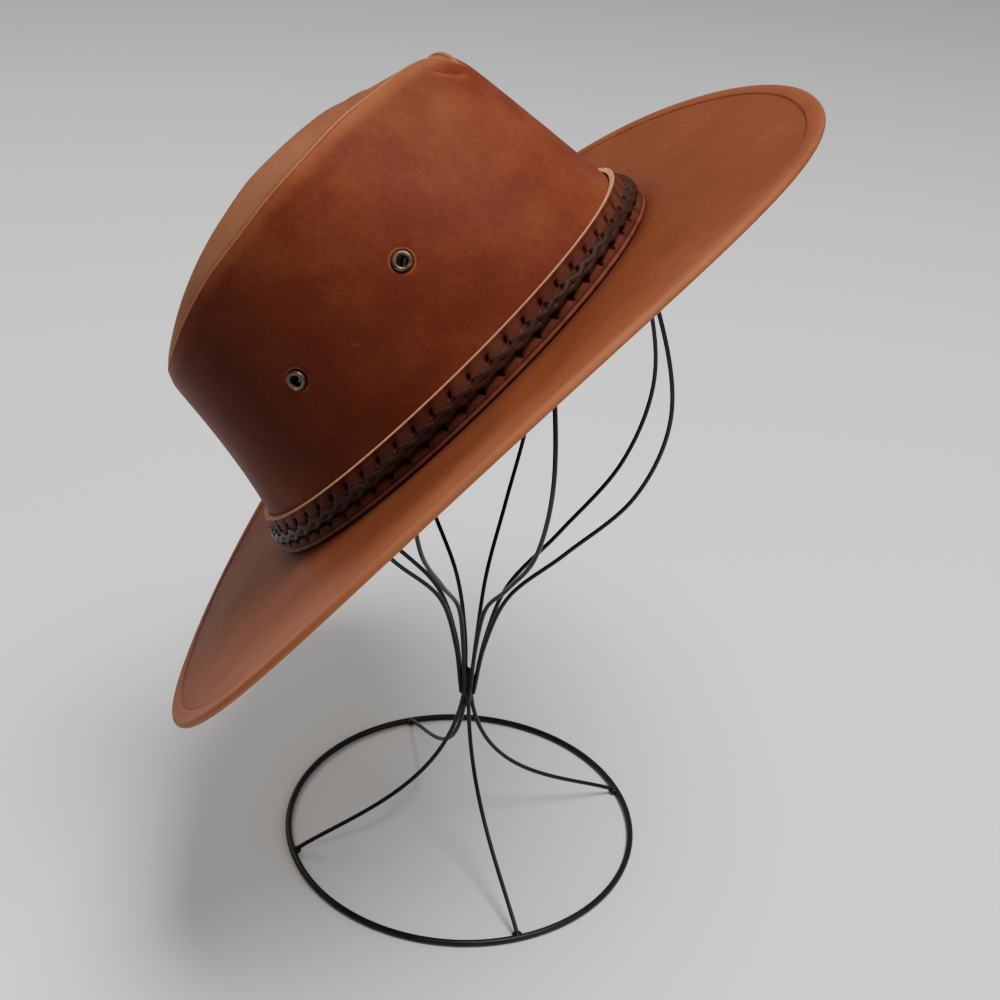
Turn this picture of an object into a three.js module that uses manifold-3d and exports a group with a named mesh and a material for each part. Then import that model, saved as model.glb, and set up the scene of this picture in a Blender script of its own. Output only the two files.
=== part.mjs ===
// A leather bush hat with a laced hat band, resting tilted on a wire hat stand.
// Millimetres, +Z up. The origin is the middle of the underside of the whole object.
//
// The stand is a base ring, four legs that gather at a waist, and four hoops that cross at the top.
// The hat is made in its own frame: +X to its front, +Y to its left, +Z up out of the crown.
// Angles round the hat start at its front. Angles round the stand start at -Y and go toward +X.

import * as THREE from 'three';
import { mergeVertices } from 'three/addons/utils/BufferGeometryUtils.js';
import Module from 'manifold-3d';

const wasm = await Module();
wasm.setup();

// Clearance between pieces that touch on the real object.
const gap = 0.3;

// Stand.
const ringRadius = 82;
const ringWire = 3;
const legWire = 2;
const hoopWire = 2;
const waistHeight = 77;
const bellyHeight = 226;
const bellyRadius = 77.4;
const legTurn = 20.4;

// Where the hat sits over the middle of the base ring and above the belly of the stand's head,
// and how it leans.
const hatAcross = -12;
const hatDeep = 1.4;
const hatHeight = 10.5;
const hatNoseUp = 47.4;
const hatSwing = 4.6;
const hatRoll = -6.6;

// Crown. Its top edge lies lower on the left side, by the left drop.
const crownLength = 203;
const crownWidth = 165.4;
const crownHeight = 108;
const crownLeather = 1.8;
const creaseDepth = 22;
const leftDrop = 8.7;
const pinchDepth = 12;
const seamTilt = 48;
const footBow = 1.3;

// Brim. The reach is how far the rim stands out from the foot of the crown, seen from above.
const brimEndReach = 75.5;
const brimSideReach = 84.2;
const brimLeather = 2.2;
const hemWidth = 7;
const hemLeather = 3;
const brimDrop = 1.8;
const brimNod = 2.9;
const brimCurl = 11.5;

// Hat band and its lacing.
const bandHeight = 15.8;
const bandLeather = 2.6;
const laceWidth = 7.2;
const laceRise = 1.8;

// Eyelets.
const eyeletHole = 4;
const eyeletBarrel = 5;
const eyeletFlange = 7.6;
const eyeletSheet = 0.7;

// Crown wall, foot to seam: height, half length and half width as shares of the foot's,
// and how far the section's middle lies toward the front as a share of the half length.
const wallSections = [
  { up: 0.0, long: 1.0, wide: 1.0, ahead: 0.0 },
  { up: 0.2, long: 0.96, wide: 0.969, ahead: 0.01 },
  { up: 0.4, long: 0.926, wide: 0.932, ahead: 0.02 },
  { up: 0.58, long: 0.903, wide: 0.896, ahead: 0.027 },
  { up: 0.74, long: 0.886, wide: 0.86, ahead: 0.033 },
  { up: 0.86, long: 0.874, wide: 0.83, ahead: 0.036 },
  { up: 0.94, long: 0.863, wide: 0.806, ahead: 0.036 },
  { up: 1.0, long: 0.842, wide: 0.78, ahead: 0.036 },
];

// Seam between wall and top, round from the front to the back: its height as a share of the
// crown's, and the height of the lip that the top makes above it, as a share of the crown's.
const seamSections = [
  { round: 0, high: 0.805, lip: 0.002 },
  { round: 17, high: 0.918, lip: 0.005 },
  { round: 39, high: 0.965, lip: 0.035 },
  { round: 54, high: 0.986, lip: 0.056 },
  { round: 80, high: 0.986, lip: 0.081 },
  { round: 96, high: 0.963, lip: 0.078 },
  { round: 108, high: 0.942, lip: 0.065 },
  { round: 121, high: 0.903, lip: 0.055 },
  { round: 140, high: 0.835, lip: 0.046 },
  { round: 162, high: 0.774, lip: 0.035 },
  { round: 180, high: 0.731, lip: 0.026 },
];

// Pinches at the front corners of the crown: angle round, spread, and how deep as a share.
const pinches = [
  { round: 40, spread: 24, deep: 1 },
  { round: -40, spread: 24, deep: 1 },
];

// Stand head below its widest point, as shares of its radius and of the height up to there.
const headLower = [
  { out: 0.093, up: 0.188 },
  { out: 0.208, up: 0.364 },
  { out: 0.509, up: 0.531 },
  { out: 0.859, up: 0.746 },
  { out: 1.0, up: 1.0 },
];

// Stand head above its widest point, as shares of its radius and of the height from there up.
const headUpper = [
  { out: 0.88, up: 0.42 },
  { out: 0.64, up: 0.76 },
  { out: 0.33, up: 0.945 },
  { out: 0.0, up: 1.0 },
];

// The four hoops: the directions in which each one's two halves leave the waist.
const hoops = [
  { name: 'stand_hoop_1', one: 21.1, other: 213 },
  { name: 'stand_hoop_2', one: 82.4, other: 268.7 },
  { name: 'stand_hoop_3', one: 110.5, other: 299.8 },
  { name: 'stand_hoop_4', one: 161.6, other: 341 },
];

// Eyelets: angle round the crown, height as a share of the seam's height there.
const eyelets = [
  { name: 'eyelet_right_front', round: -69.4, up: 0.54 },
  { name: 'eyelet_right_rear', round: -106.9, up: 0.525 },
  { name: 'eyelet_left_front', round: 69.4, up: 0.585 },
  { name: 'eyelet_left_rear', round: 106.9, up: 0.572 },
];

const roundSteps = 60;
const rad = THREE.MathUtils.degToRad;
const angles = Array.from({ length: roundSteps }, (_, i) => (i / roundSteps) * 2 * Math.PI);

const leather = new THREE.MeshStandardMaterial({ color: 0x7a3d20, roughness: 0.55, metalness: 0 });
const topLeather = new THREE.MeshStandardMaterial({ color: 0x8a4a28, roughness: 0.5, metalness: 0 });
const brimLook = new THREE.MeshStandardMaterial({ color: 0x85462a, roughness: 0.55, metalness: 0 });
const bandLook = new THREE.MeshStandardMaterial({ color: 0x6b2f1e, roughness: 0.5, metalness: 0 });
const laceLook = new THREE.MeshStandardMaterial({ color: 0x2e1712, roughness: 0.5, metalness: 0 });
const blackWire = new THREE.MeshStandardMaterial({ color: 0x0d0d0e, roughness: 0.45, metalness: 0.6 });
const oldBrass = new THREE.MeshStandardMaterial({ color: 0x8f8264, roughness: 0.4, metalness: 0.9 });

// A smooth value between the rows of a table, by the column that rises and the column wanted.
function between(rows, rising, wanted, at) {
  const last = rows.length - 1;
  let k = 0;
  while (k < last - 1 && at > rows[k + 1][rising]) {
    k += 1;
  }
  const a = rows[Math.max(k - 1, 0)];
  const b = rows[k];
  const c = rows[k + 1];
  const d = rows[Math.min(k + 2, last)];
  const span = c[rising] - b[rising];
  const t = THREE.MathUtils.clamp((at - b[rising]) / span, 0, 1);
  const slopeB = (c[wanted] - a[wanted]) / Math.max(c[rising] - a[rising], 1e-9);
  const slopeC = (d[wanted] - b[wanted]) / Math.max(d[rising] - b[rising], 1e-9);
  const t2 = t * t;
  const t3 = t2 * t;
  return (2 * t3 - 3 * t2 + 1) * b[wanted] + (t3 - 2 * t2 + t) * span * slopeB
    + (3 * t2 - 2 * t3) * c[wanted] + (t3 - t2) * span * slopeC;
}

function smooth(low, high, at) {
  return THREE.MathUtils.smoothstep(at, low, high);
}

// Degrees from the front, the same on both sides.
function fromFront(angle) {
  return Math.abs(((THREE.MathUtils.radToDeg(angle) + 540) % 360) - 180);
}

// The line where the crown meets the brim rises and falls a little round the head.
function footHeight(angle) {
  return -footBow * Math.cos(2 * angle);
}

function seamHeight(angle) {
  const drop = leftDrop * smooth(0, 0.6, Math.sin(angle));
  return crownHeight * between(seamSections, 'round', 'high', fromFront(angle)) - drop;
}

// How far the pinches push the wall in, by the angle round and the share of the height.
function pinchAt(angle, up) {
  let push = 0;
  for (const pinch of pinches) {
    let away = THREE.MathUtils.radToDeg(angle) - pinch.round;
    away = ((away + 540) % 360) - 180;
    push += pinch.deep * Math.exp(-((away / pinch.spread) ** 2));
  }
  return pinchDepth * push * smooth(0.3, 1, up);
}

// Outer face of the crown wall, at an angle round and a share of the height up to the seam.
function wallPoint(angle, up) {
  const long = (crownLength / 2) * between(wallSections, 'up', 'long', up);
  const wide = (crownWidth / 2) * between(wallSections, 'up', 'wide', up);
  const ahead = (crownLength / 2) * between(wallSections, 'up', 'ahead', up);
  const push = pinchAt(angle, up);
  const foot = footHeight(angle);
  return new THREE.Vector3(
    ahead + (long - push) * Math.cos(angle),
    (wide - push) * Math.sin(angle),
    foot + (seamHeight(angle) - foot) * up,
  );
}

// Outward direction of the foot of the crown, seen from above.
function footNormal(angle) {
  return new THREE.Vector3(
    crownWidth * Math.cos(angle),
    crownLength * Math.sin(angle),
    0,
  ).normalize();
}

// Outer face of the crown top. Inward is 0 at the seam and 1 at the middle.
const lipShare = 0.1;
function topPoint(angle, inward) {
  const seam = wallPoint(angle, 1);
  const middle = (crownLength / 2) * between(wallSections, 'up', 'ahead', 1);
  const out = 1 - inward;
  const lip = crownHeight * between(seamSections, 'round', 'lip', fromFront(angle));
  const rise = 1 - (Math.max(lipShare - inward, 0) / lipShare) ** 2;
  const edge = seam.z + lip * rise;
  const deckShare = THREE.MathUtils.clamp((inward - lipShare) / (1 - lipShare), 0, 1);
  const deck = edge + (crownHeight - edge) * (1 - (1 - deckShare) ** 2);
  const x = middle + (seam.x - middle) * out;
  const y = seam.y * out;
  const halfLong = (crownLength / 2) * 0.63;
  const halfWide = (crownWidth / 2) * (0.5 - 0.08 * (x / crownLength));
  const away = ((x - 0.1 * halfLong) / halfLong) ** 2 + (y / halfWide) ** 2;
  const crease = creaseDepth * Math.max(1 - away, 0) ** 1.5;
  return new THREE.Vector3(x, y, deck - crease);
}

// Rim height of the brim: the ends hang down, the sides curl up.
function rimHeight(angle) {
  return -brimDrop - brimNod * Math.cos(angle) - brimCurl * Math.cos(2 * angle)
    - 0.42 * brimNod * Math.cos(3 * angle);
}

// Top face of the brim. Out is 0 at the foot of the crown and 1 at the rim.
function brimPoint(angle, out) {
  const foot = wallPoint(angle, 0);
  const power = 2 / 2.16;
  const c = Math.cos(angle);
  const s = Math.sin(angle);
  const long = crownLength / 2 + brimEndReach;
  const wide = (crownWidth / 2 + brimSideReach) * (1 - 0.067 * c);
  const rimX = long * Math.sign(c) * Math.abs(c) ** power;
  const rimY = wide * Math.sign(s) * Math.abs(s) ** power;
  const bend = Math.max(out, 0) ** 1.3;
  return new THREE.Vector3(
    foot.x + (rimX - foot.x) * out,
    foot.y + (rimY - foot.y) * out,
    foot.z + (rimHeight(angle) - foot.z) * bend,
  );
}

// A closed solid from loops of points that go round the hat; the last loop joins the first.
function loopSolid(loops) {
  const count = loops[0].length;
  const places = [];
  for (const loop of loops) {
    for (const p of loop) {
      places.push(p.x, p.y, p.z);
    }
  }
  const faces = [];
  for (let i = 0; i < loops.length; i += 1) {
    const next = (i + 1) % loops.length;
    for (let j = 0; j < count; j += 1) {
      const k = (j + 1) % count;
      const a = i * count + j;
      const b = i * count + k;
      const c = next * count + k;
      const d = next * count + j;
      faces.push(a, b, c, a, c, d);
    }
  }
  return indexed(places, faces);
}

// A closed solid like a thick dish: outer loops to an outer pole, then the inner pole and loops.
function dishSolid(outer, outerPole, inner, innerPole) {
  const count = outer[0].length;
  const loops = [...outer, ...[...inner].reverse()];
  const places = [];
  for (const loop of loops) {
    for (const p of loop) {
      places.push(p.x, p.y, p.z);
    }
  }
  const outerTip = places.length / 3;
  places.push(outerPole.x, outerPole.y, outerPole.z);
  places.push(innerPole.x, innerPole.y, innerPole.z);
  const innerTip = outerTip + 1;
  const faces = [];
  const bridge = (low, high) => {
    for (let j = 0; j < count; j += 1) {
      const k = (j + 1) % count;
      faces.push(low * count + j, low * count + k, high * count + k);
      faces.push(low * count + j, high * count + k, high * count + j);
    }
  };
  const last = outer.length - 1;
  for (let i = 0; i < last; i += 1) {
    bridge(i, i + 1);
    bridge(outer.length + i, outer.length + i + 1);
  }
  bridge(loops.length - 1, 0);
  for (let j = 0; j < count; j += 1) {
    const k = (j + 1) % count;
    faces.push(last * count + j, last * count + k, outerTip);
    faces.push(outer.length * count + k, outer.length * count + j, innerTip);
  }
  return indexed(places, faces);
}

function indexed(places, faces) {
  const geometry = new THREE.BufferGeometry();
  geometry.setAttribute('position', new THREE.Float32BufferAttribute(places, 3));
  geometry.setIndex(faces);
  geometry.computeVertexNormals();
  return geometry;
}

// The same grid of points moved along its normals, to the inside by the leather's thickness.
function inside(grid, thickness) {
  const count = grid[0].length;
  const along = new THREE.Vector3();
  const across = new THREE.Vector3();
  return grid.map((row, i) => row.map((p, j) => {
    const low = grid[Math.max(i - 1, 0)][j];
    const high = grid[Math.min(i + 1, grid.length - 1)][j];
    along.subVectors(row[(j + 1) % count], row[(j + count - 1) % count]);
    across.subVectors(high, low);
    const normal = new THREE.Vector3().crossVectors(across, along).normalize();
    return p.clone().addScaledVector(normal, thickness);
  }));
}

function merged(geometry) {
  const bare = geometry.clone();
  bare.deleteAttribute('normal');
  bare.deleteAttribute('uv');
  return mergeVertices(bare, 1e-4);
}

function toManifold(geometry) {
  const shared = merged(geometry);
  return new wasm.Manifold(new wasm.Mesh({
    numProp: 3,
    vertProperties: new Float32Array(shared.attributes.position.array),
    triVerts: new Uint32Array(shared.index.array),
  }));
}

function fromManifold(solid) {
  const mesh = solid.getMesh();
  return indexed(Array.from(mesh.vertProperties), Array.from(mesh.triVerts));
}

// Mitre at the seam: the wall and the top both end on faces along this inward direction.
function mitre(angle) {
  return footNormal(angle).multiplyScalar(-Math.cos(rad(seamTilt)))
    .setZ(-Math.sin(rad(seamTilt)));
}

function overSeam(angle) {
  return footNormal(angle).multiplyScalar(-Math.sin(rad(seamTilt)))
    .setZ(Math.cos(rad(seamTilt)));
}

// Crown wall, standing one gap above the brim, with a hole for each eyelet.
function crownWall() {
  const rows = wallSections.map(({ up }) => angles.map((angle) => wallPoint(angle, up)));
  rows[0].forEach((p) => {
    p.z += gap;
  });
  const innerRows = inside(rows, crownLeather);
  innerRows[0].forEach((p, j) => {
    p.z = rows[0][j].z;
  });
  innerRows[innerRows.length - 1] = rows[rows.length - 1].map((p, j) => (
    p.clone().addScaledVector(mitre(angles[j]), crownLeather)
  ));
  let solid = toManifold(loopSolid([...rows, ...innerRows.reverse()]));
  for (const eyelet of eyelets) {
    const drill = new THREE.CylinderGeometry(
      eyeletBarrel / 2 + gap,
      eyeletBarrel / 2 + gap,
      crownLeather * 6,
      14,
    );
    drill.applyMatrix4(eyeletPlace(eyelet));
    solid = solid.subtract(toManifold(drill));
  }
  return fromManifold(solid);
}

// Crown top, one gap beyond the seam, creased along the middle.
function crownTop() {
  const steps = [0, 0.05, 0.11, 0.22, 0.38, 0.56, 0.78];
  const rows = steps.map((inward) => angles.map((angle) => {
    const fade = Math.max(1 - inward / lipShare, 0);
    return topPoint(angle, inward).addScaledVector(overSeam(angle), gap * fade);
  }));
  const innerRows = inside(rows, crownLeather);
  innerRows[0] = rows[0].map((p, j) => (
    p.clone().addScaledVector(mitre(angles[j]), crownLeather)
  ));
  const pole = topPoint(0, 1);
  const innerPole = pole.clone().setZ(pole.z - crownLeather);
  return dishSolid(rows, pole, innerRows, innerPole);
}

// Brim with a folded hem round its rim; its inner edge lies under the crown wall.
function brim() {
  const section = angles.map((angle) => {
    const rim = brimPoint(angle, 1);
    const foot = brimPoint(angle, 0);
    const reach = Math.hypot(rim.x - foot.x, rim.y - foot.y);
    const hem = 1 - hemWidth / reach;
    const under = footNormal(angle).multiplyScalar(-crownLeather);
    const hemRise = (hemLeather - brimLeather) / 2;
    const down = (point, depth) => point.clone().setZ(point.z - depth);
    const inner = foot.clone().add(under);
    const step = 1.2 / reach;
    const round = hemLeather * 0.3 / reach;
    return [
      inner,
      foot,
      brimPoint(angle, 0.25),
      brimPoint(angle, 0.55),
      brimPoint(angle, hem - step),
      down(brimPoint(angle, hem), -hemRise),
      down(brimPoint(angle, 1 - round), -hemRise),
      down(rim, brimLeather * 0.2),
      down(rim, brimLeather * 0.8),
      down(brimPoint(angle, 1 - round), brimLeather + hemRise),
      down(brimPoint(angle, hem), brimLeather + hemRise),
      down(brimPoint(angle, hem - step), brimLeather),
      down(brimPoint(angle, 0.55), brimLeather),
      down(brimPoint(angle, 0.25), brimLeather),
      down(inner, brimLeather),
    ];
  });
  const loops = section[0].map((_, i) => section.map((points) => points[i]));
  return loopSolid(loops.reverse());
}

// A strap round the crown wall: distances out from the wall and heights up from its foot.
function strap(outline) {
  const loops = outline.map(({ out, up }) => angles.map((angle) => {
    const foot = wallPoint(angle, 0).z;
    const share = up / (seamHeight(angle) - foot);
    return wallPoint(angle, share).addScaledVector(footNormal(angle), out);
  }));
  return loopSolid(loops);
}

function hatBand() {
  const low = gap * 2;
  const bevel = bandLeather * 0.3;
  return strap([
    { out: gap, up: low },
    { out: gap + bandLeather - bevel, up: low },
    { out: gap + bandLeather, up: low + bevel },
    { out: gap + bandLeather, up: low + bandHeight - bevel },
    { out: gap + bandLeather - bevel, up: low + bandHeight },
    { out: gap, up: low + bandHeight },
  ]);
}

function bandLacing() {
  const middle = gap * 2 + bandHeight / 2;
  const face = gap + bandLeather + gap;
  return strap([
    { out: face, up: middle - laceWidth / 2 },
    { out: face + laceRise * 0.7, up: middle - laceWidth * 0.35 },
    { out: face + laceRise, up: middle },
    { out: face + laceRise * 0.7, up: middle + laceWidth * 0.35 },
    { out: face, up: middle + laceWidth / 2 },
  ]);
}

// Where an eyelet goes: its axis along the wall's normal, its origin on the wall's outer face.
function eyeletPlace({ round, up }) {
  const angle = rad(round);
  const at = wallPoint(angle, up);
  const along = wallPoint(angle + 0.02, up).sub(wallPoint(angle - 0.02, up));
  const across = wallPoint(angle, up + 0.02).sub(wallPoint(angle, up - 0.02));
  const out = new THREE.Vector3().crossVectors(along, across).normalize();
  const side = along.normalize();
  const rise = new THREE.Vector3().crossVectors(side, out);
  return new THREE.Matrix4().makeBasis(side, out, rise).setPosition(at);
}

// Eyelet: a rolled flange outside, a barrel through the wall and a flat flange inside.
function eyelet(place) {
  const hole = eyeletHole / 2;
  const barrel = eyeletBarrel / 2;
  const flange = eyeletFlange / 2;
  const outside = gap * 1.4;
  const within = -crownLeather - gap * 1.4;
  const profile = [
    [hole, within - eyeletSheet],
    [flange * 0.95, within - eyeletSheet],
    [flange * 0.95, within],
    [barrel, within],
    [barrel, outside],
    [flange, outside],
    [flange * 0.93, outside + eyeletSheet * 0.75],
    [(flange + hole) / 2, outside + eyeletSheet],
    [hole * 1.1, outside + eyeletSheet * 0.75],
    [hole, outside],
    [hole, within - eyeletSheet],
  ];
  const geometry = new THREE.LatheGeometry(profile.map(([x, y]) => new THREE.Vector2(x, y)), 14);
  geometry.applyMatrix4(eyeletPlace(place));
  return geometry;
}

// A point on the stand, by its distance from the axis, height and direction in degrees.
function standPoint(out, height, direction) {
  const turn = rad(direction);
  return new THREE.Vector3(out * Math.sin(turn), -out * Math.cos(turn), height);
}

function wireShape(diameter, sides) {
  const corners = Array.from({ length: sides }, (_, i) => {
    const turn = ((i + 0.5) / sides) * 2 * Math.PI;
    return new THREE.Vector2(Math.cos(turn), Math.sin(turn)).multiplyScalar(diameter / 2);
  });
  return new THREE.Shape(corners);
}

function wire(path, diameter, steps) {
  return new THREE.ExtrudeGeometry(wireShape(diameter, 6), {
    extrudePath: path,
    steps,
    bevelEnabled: false,
  });
}

// Base ring: eight-sided wire with a flat underneath, which the object stands on.
function baseRing() {
  const corner = ringWire / 2 / Math.cos(Math.PI / 8);
  const profile = Array.from({ length: 9 }, (_, i) => {
    const turn = ((i + 0.5) / 8) * 2 * Math.PI;
    return new THREE.Vector2(
      ringRadius + corner * Math.cos(turn),
      ringWire / 2 + corner * Math.sin(turn),
    );
  });
  return new THREE.LatheGeometry(profile, 56).rotateX(Math.PI / 2);
}

// A leg: from the inner upper side of the ring, low toward the middle, then up to the waist.
function leg(direction) {
  const low = ringWire / 2;
  const end = standPoint(ringRadius, low, direction);
  const bend = standPoint(ringRadius * 0.694, low + waistHeight * 0.19, direction);
  const clear = ringWire / 2 / Math.cos(Math.PI / 8) + gap;
  const start = end.clone().addScaledVector(bend.clone().sub(end).normalize(), clear);
  const gather = (legWire + gap) / Math.SQRT2;
  const path = new THREE.CubicBezierCurve3(
    start,
    bend,
    standPoint(ringRadius * 0.0976, waistHeight * 0.296, direction),
    standPoint(gather, waistHeight, direction),
  );
  return wire(path, legWire, 16);
}

// One half of a hoop, from the waist up to the crossing. Its direction starts evenly spaced
// round the waist and turns to the hoop's own as it leaves.
function hoopHalf(direction, slot, top) {
  const gather = (hoopWire + gap) / (2 * Math.sin(Math.PI / 8));
  const foot = waistHeight + gap;
  const even = legTurn + slot * 45;
  const rows = [{ out: gather / bellyRadius, up: 0 }, ...headLower];
  const lower = rows.map(({ out, up }) => ({
    out: out * bellyRadius,
    height: foot + (bellyHeight - foot) * up,
  }));
  const upper = headUpper.map(({ out, up }) => ({
    out: out * bellyRadius,
    height: bellyHeight + (top - bellyHeight) * up,
  }));
  return [...lower, ...upper].map(({ out, height }) => {
    const own = smooth(gather, bellyRadius * 0.3, out);
    return standPoint(out, height, even + (direction - even) * own);
  });
}

function hoopPath(index, top) {
  const { one, other } = hoops[index];
  const up = hoopHalf(one, index, top);
  const down = hoopHalf(other, index + 4, top).reverse();
  return new THREE.CatmullRomCurve3([...up, ...down.slice(1)], false, 'centripetal');
}

const hoopSteps = 56;
const pitch = hoopWire + gap;

function hoopTop(index, headTop) {
  return headTop - (hoops.length - 1 - index) * pitch;
}

const hat = new THREE.Group();
hat.position.set(hatAcross, hatDeep, bellyHeight + hatHeight);
hat.rotation.set(rad(hatRoll), rad(-hatNoseUp), rad(hatSwing), 'ZYX');
hat.updateMatrixWorld(true);

// The distance between the hoops' middle lines and the inside of the crown.
function headClearance(headTop, triangles) {
  const near = new THREE.Vector3();
  let least = Infinity;
  hoops.forEach((_, index) => {
    for (const point of hoopPath(index, hoopTop(index, headTop)).getSpacedPoints(hoopSteps * 2)) {
      if (point.z > bellyHeight) {
        for (const triangle of triangles) {
          triangle.closestPointToPoint(point, near);
          least = Math.min(least, near.distanceTo(point));
        }
      }
    }
  });
  return least;
}

// The top of the stand's head carries the hat: it is as high as the crown top lets it be.
function seatedTop(shells) {
  const triangles = [];
  for (const shell of shells) {
    const placed = shell.clone().applyMatrix4(hat.matrixWorld);
    const { position } = placed.attributes;
    const order = placed.index.array;
    for (let i = 0; i < order.length; i += 3) {
      const [a, b, c] = [0, 1, 2].map((k) => (
        new THREE.Vector3().fromBufferAttribute(position, order[i + k])
      ));
      triangles.push(new THREE.Triangle(a, b, c));
    }
  }
  const wanted = hoopWire / 2 + gap;
  let low = bellyHeight + bellyRadius / 2;
  let high = low;
  while (headClearance(high, triangles) > wanted) {
    low = high;
    high += pitch;
  }
  for (let i = 0; i < 6; i += 1) {
    const middle = (low + high) / 2;
    if (headClearance(middle, triangles) > wanted) {
      low = middle;
    } else {
      high = middle;
    }
  }
  return low;
}

function piece(name, geometry, material) {
  const mesh = new THREE.Mesh(geometry, material.clone());
  mesh.name = name;
  return mesh;
}

const wallGeometry = crownWall();
const topGeometry = crownTop();
hat.add(piece('crown_side', wallGeometry, leather));
hat.add(piece('crown_top', topGeometry, topLeather));
hat.add(piece('brim', brim(), brimLook));
hat.add(piece('hat_band', hatBand(), bandLook));
hat.add(piece('band_lacing', bandLacing(), laceLook));
for (const place of eyelets) {
  hat.add(piece(place.name, eyelet(place), oldBrass));
}

const stand = new THREE.Group();
stand.add(piece('stand_base_ring', baseRing(), blackWire));
['front', 'right', 'back', 'left'].forEach((side, i) => {
  stand.add(piece(`stand_leg_${side}`, leg(legTurn + i * 90), blackWire));
});
const headTop = seatedTop([wallGeometry, topGeometry]);
hoops.forEach(({ name }, index) => {
  const path = hoopPath(index, hoopTop(index, headTop));
  stand.add(piece(name, wire(path, hoopWire, hoopSteps), blackWire));
});

// The origin goes to the middle of the underside of everything.
const object = new THREE.Group();
object.add(stand, hat);
object.updateMatrixWorld(true);
const box = new THREE.Box3().setFromObject(object, true);
object.position.set(-(box.min.x + box.max.x) / 2, -(box.min.y + box.max.y) / 2, -box.min.z);
object.updateMatrixWorld(true);

export default object;
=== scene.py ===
# A leather bush hat leaning on a black wire hat stand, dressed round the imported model.
# The hat is worked out in millimetres in its own frame, with +X to its front, +Y to its left
# and +Z up out of the crown, and is then turned and set on the stand in metres.

import math

import bpy
import numpy as np
from mathutils import Matrix, Vector


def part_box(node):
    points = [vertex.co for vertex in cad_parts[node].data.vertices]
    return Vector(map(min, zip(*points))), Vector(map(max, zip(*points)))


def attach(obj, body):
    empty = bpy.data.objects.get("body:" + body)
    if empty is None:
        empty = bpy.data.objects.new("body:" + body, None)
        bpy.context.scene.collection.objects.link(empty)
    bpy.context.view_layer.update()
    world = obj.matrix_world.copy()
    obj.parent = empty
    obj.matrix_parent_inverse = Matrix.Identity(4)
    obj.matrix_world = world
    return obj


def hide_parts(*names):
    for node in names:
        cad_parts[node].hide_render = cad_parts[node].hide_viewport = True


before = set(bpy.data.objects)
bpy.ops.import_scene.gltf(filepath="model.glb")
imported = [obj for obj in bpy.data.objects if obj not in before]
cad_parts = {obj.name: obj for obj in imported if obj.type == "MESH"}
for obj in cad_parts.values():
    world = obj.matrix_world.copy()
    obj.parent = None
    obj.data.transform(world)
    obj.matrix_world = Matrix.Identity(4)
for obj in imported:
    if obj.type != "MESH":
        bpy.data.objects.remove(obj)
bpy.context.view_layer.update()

# Camera
# It stands in front of the hat stand at shoulder height, turned and rolled a little, and looks
# down on the base ring. Its place is given from the middle of the ring.
ring_low, ring_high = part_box("stand_base_ring")
ring_middle = np.array([(ring_low.x + ring_high.x) / 2, (ring_low.y + ring_high.y) / 2, 0.0])
camera_place = ring_middle + np.array([0.0, -0.5945, 0.5038])
camera_yaw = 0.0156
camera_pitch = 0.5011
camera_roll = 0.0646
camera_lens = 56.92
camera_sensor = 36.0

sight = np.array([
    math.sin(camera_yaw) * math.cos(camera_pitch),
    math.cos(camera_yaw) * math.cos(camera_pitch),
    -math.sin(camera_pitch),
])
level = np.array([math.cos(camera_yaw), -math.sin(camera_yaw), 0.0])
upright = np.cross(level, sight)
across_frame = level * math.cos(camera_roll) + upright * math.sin(camera_roll)
up_frame = -level * math.sin(camera_roll) + upright * math.cos(camera_roll)
camera_turn = Matrix(np.stack([across_frame, up_frame, -sight], axis=1).tolist()).to_4x4()


def put(name, data):
    """A new object with this data, linked to the scene."""
    made = bpy.data.objects.new(name, data)
    bpy.context.scene.collection.objects.link(made)
    return made


camera_data = bpy.data.cameras.new("camera")
camera_data.lens = camera_lens
camera_data.sensor_width = camera_sensor
camera = put("camera", camera_data)
camera.matrix_world = Matrix.Translation(Vector(camera_place)) @ camera_turn
bpy.context.scene.camera = camera

# Crown wall
# One strip of smooth waxed hide, 1.8 mm thick, bent round the head into a tapered wall that is
# pinched at both front corners. It is cut for four eyelets, and its upper edge is turned in
# and sewn to the top.
gap = 0.3
crown_length = 203.0
crown_width = 165.4
crown_height = 108.0
crown_leather = 1.8
left_drop = 8.7
left_full = 0.6
foot_bow = 1.3
pinch_depth = 12.0
pinch_places = (40.0, -40.0)
pinch_spread = 24.0
pinch_start = 0.3
hat_across, hat_deep, hat_height = -12.0, 1.4, 236.5
hat_swing, hat_nose_up, hat_roll = 4.6, 47.4, -6.6

# Columns: height share, half length, half width, and how far the section lies forward.
wall_sections = np.array([
    (0.00, 1.000, 1.000, 0.000),
    (0.20, 0.960, 0.969, 0.010),
    (0.40, 0.926, 0.932, 0.020),
    (0.58, 0.903, 0.896, 0.027),
    (0.74, 0.886, 0.860, 0.033),
    (0.86, 0.874, 0.830, 0.036),
    (0.94, 0.863, 0.806, 0.036),
    (1.00, 0.842, 0.780, 0.036),
])

# Columns: degrees round from the front, seam height, and height of the lip above the seam.
seam_sections = np.array([
    (0, 0.805, 0.002),
    (17, 0.918, 0.005),
    (39, 0.965, 0.035),
    (54, 0.986, 0.056),
    (80, 0.986, 0.081),
    (96, 0.963, 0.078),
    (108, 0.942, 0.065),
    (121, 0.903, 0.055),
    (140, 0.835, 0.046),
    (162, 0.774, 0.035),
    (180, 0.731, 0.026),
])

# Degrees round from the front and share of the seam's height.
eyelet_places = {
    "eyelet_right_front": (-69.4, 0.54),
    "eyelet_right_rear": (-106.9, 0.525),
    "eyelet_left_front": (69.4, 0.585),
    "eyelet_left_rear": (106.9, 0.572),
}


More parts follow.
